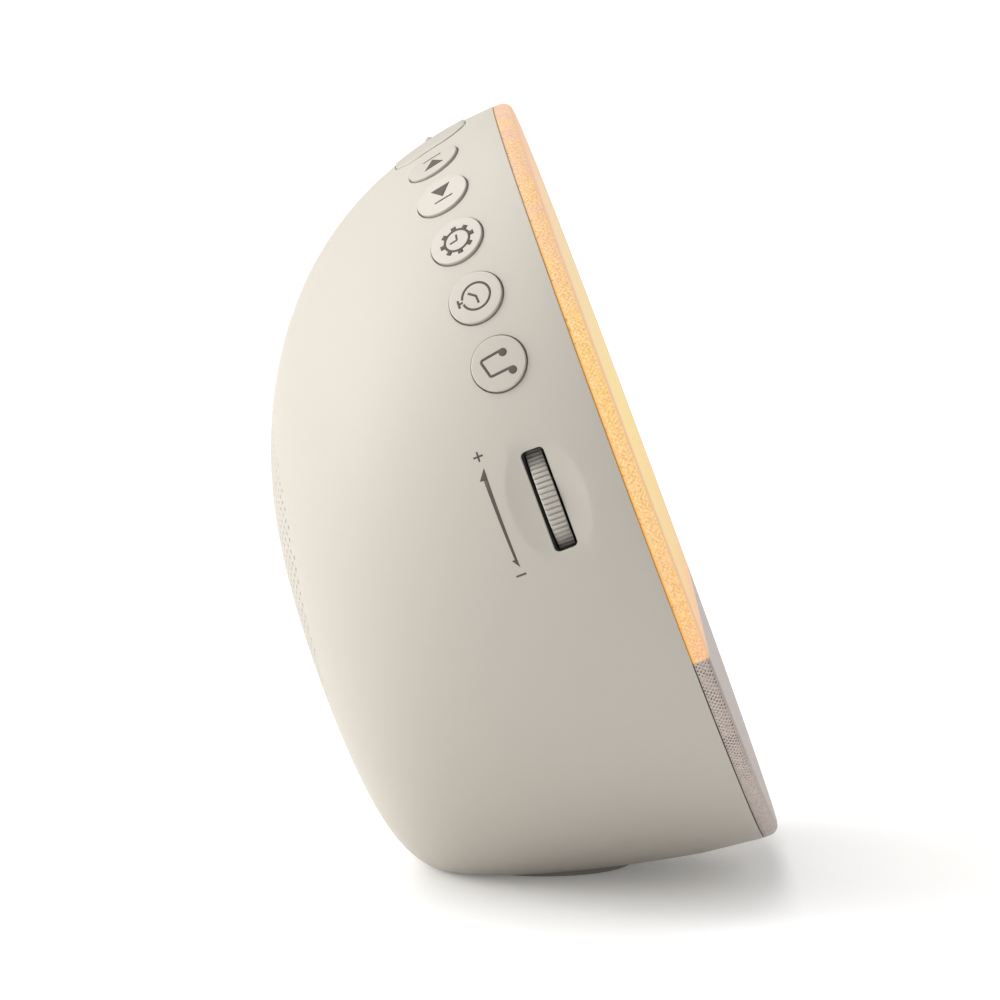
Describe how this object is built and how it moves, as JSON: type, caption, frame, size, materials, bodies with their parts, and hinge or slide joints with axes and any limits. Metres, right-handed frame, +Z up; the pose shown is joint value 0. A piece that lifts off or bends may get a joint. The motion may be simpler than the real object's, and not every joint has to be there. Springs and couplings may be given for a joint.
{
  "type": "sunrise alarm clock",
  "caption": "Bedside sunrise alarm clock: a fabric light disc leaning back on a rounded dome, with round keys over the top, a dimmer wheel and a speaker behind.",
  "frame": {"origin": "middle of the rubber foot's underside, the face the clock rests on", "axes": "+Z up, the light disc faces -Y and leans back, +X across the clock, the dimmer wheel is on the -X side"},
  "size_m": [0.15, 0.0978, 0.1469],
  "materials": {
    "shell_plastic": "satin moulded ABS, fine spark texture",
    "key_plastic": "satin moulded ABS, printed symbols",
    "woven_fabric": "woven linen melange, lit from behind",
    "dark_trim": "matt moulded ABS",
    "milky_plastic": "translucent opal acrylic",
    "white_plastic": "white reflector ABS",
    "frame_plastic": "grey moulded ABS",
    "foot_rubber": "matt silicone rubber",
    "wheel_rubber": "ribbed thermoplastic rubber",
    "circuit_board": "glass-epoxy laminate with solder mask",
    "white_board": "aluminium-core board with white solder mask",
    "flex_film": "polyimide film",
    "light_source": "white LED packages",
    "digit_red": "segment blocks",
    "black_plastic": "moulded component housings",
    "connector_plastic": "nylon plug housings",
    "screw_steel": "zinc-plated steel",
    "pressed_steel": "black coated pressed steel",
    "ferrite": "sintered ferrite",
    "paper_cone": "treated paper",
    "soft_foam": "closed-cell foam",
    "pin_metal": "nickel-plated brass"
  },
  "bodies": {
    "clock": {"rear_shell": "shell_plastic", "rubber_foot": "foot_rubber", "front_ring": "dark_trim", "cover_disc": "milky_plastic", "fabric_cover": "woven_fabric", "diffuser_sheet": "milky_plastic", "light_tray": "white_plastic", "led_board": "white_board", "led_chips": "light_source", "display_box": "dark_trim", "display_board": "circuit_board", "display_digits": "digit_red", "inner_frame": "frame_plastic", "frame_screws": "screw_steel", "switch_arch": "frame_plastic", "switch_circuit": "flex_film", "key_switches": "black_plastic", "dimmer_control": "black_plastic", "main_board": "circuit_board", "board_chips": "black_plastic", "board_plugs": "connector_plastic", "board_screws": "screw_steel", "speaker_frame": "pressed_steel", "speaker_magnet": "ferrite", "speaker_edge": "soft_foam", "speaker_gasket": "soft_foam", "power_inlet": "black_plastic", "inlet_pin": "pin_metal"},
    "snooze_bar": {"snooze_bar": "key_plastic"},
    "key_next": {"key_next": "key_plastic"},
    "key_previous": {"key_previous": "key_plastic"},
    "key_settings": {"key_settings": "key_plastic"},
    "key_timer": {"key_timer": "key_plastic"},
    "key_music": {"key_music": "key_plastic"},
    "key_light": {"key_light": "key_plastic"},
    "key_louder": {"key_louder": "key_plastic"},
    "key_quieter": {"key_quieter": "key_plastic"},
    "key_alarm": {"key_alarm": "key_plastic"},
    "key_sleep": {"key_sleep": "key_plastic"},
    "dimmer": {"dimmer_wheel": "wheel_rubber", "dimmer_shaft": "pin_metal"},
    "speaker_cone": {"speaker_cone": "paper_cone"}
  },
  "joints": [
    {"name": "snooze_press", "type": "slide", "parent": "clock", "child": "snooze_bar", "axis": [0, -0.547, -0.8371], "range_m": [0, 0.0006], "stiffness_N_per_m": 2500},
    {"name": "next_press", "type": "slide", "parent": "clock", "child": "key_next", "axis": [0.3113, -0.5281, -0.7901], "range_m": [0, 0.0006], "stiffness_N_per_m": 2500},
    {"name": "previous_press", "type": "slide", "parent": "clock", "child": "key_previous", "axis": [0.4845, -0.4993, -0.7183], "range_m": [0, 0.0006], "stiffness_N_per_m": 2500},
    {"name": "settings_press", "type": "slide", "parent": "clock", "child": "key_settings", "axis": [0.6397, -0.4585, -0.6169], "range_m": [0, 0.0006], "stiffness_N_per_m": 2500},
    {"name": "timer_press", "type": "slide", "parent": "clock", "child": "key_timer", "axis": [0.771, -0.4073, -0.4896], "range_m": [0, 0.0006], "stiffness_N_per_m": 2500},
    {"name": "music_press", "type": "slide", "parent": "clock", "child": "key_music", "axis": [0.8734, -0.3475, -0.3411], "range_m": [0, 0.0006], "stiffness_N_per_m": 2500},
    {"name": "light_press", "type": "slide", "parent": "clock", "child": "key_light", "axis": [-0.3113, -0.5281, -0.7901], "range_m": [0, 0.0006], "stiffness_N_per_m": 2500},
    {"name": "louder_press", "type": "slide", "parent": "clock", "child": "key_louder", "axis": [-0.4845, -0.4993, -0.7183], "range_m": [0, 0.0006], "stiffness_N_per_m": 2500},
    {"name": "quieter_press", "type": "slide", "parent": "clock", "child": "key_quieter", "axis": [-0.6397, -0.4585, -0.6169], "range_m": [0, 0.0006], "stiffness_N_per_m": 2500},
    {"name": "alarm_press", "type": "slide", "parent": "clock", "child": "key_alarm", "axis": [-0.771, -0.4073, -0.4896], "range_m": [0, 0.0006], "stiffness_N_per_m": 2500},
    {"name": "sleep_press", "type": "slide", "parent": "clock", "child": "key_sleep", "axis": [-0.8734, -0.3475, -0.3411], "range_m": [0, 0.0006], "stiffness_N_per_m": 2500},
    {"name": "dimmer_turn", "type": "hinge", "parent": "clock", "child": "dimmer", "pos_m": [-0.06161, -0.00148, 0.07758], "axis": [0, -0.9367, 0.3502], "range_deg": [-135, 135]},
    {"name": "cone_move", "type": "slide", "parent": "clock", "child": "speaker_cone", "axis": [0, -0.9367, 0.3502], "range_m": [-0.0008, 0.0008], "stiffness_N_per_m": 1800}
  ]
}
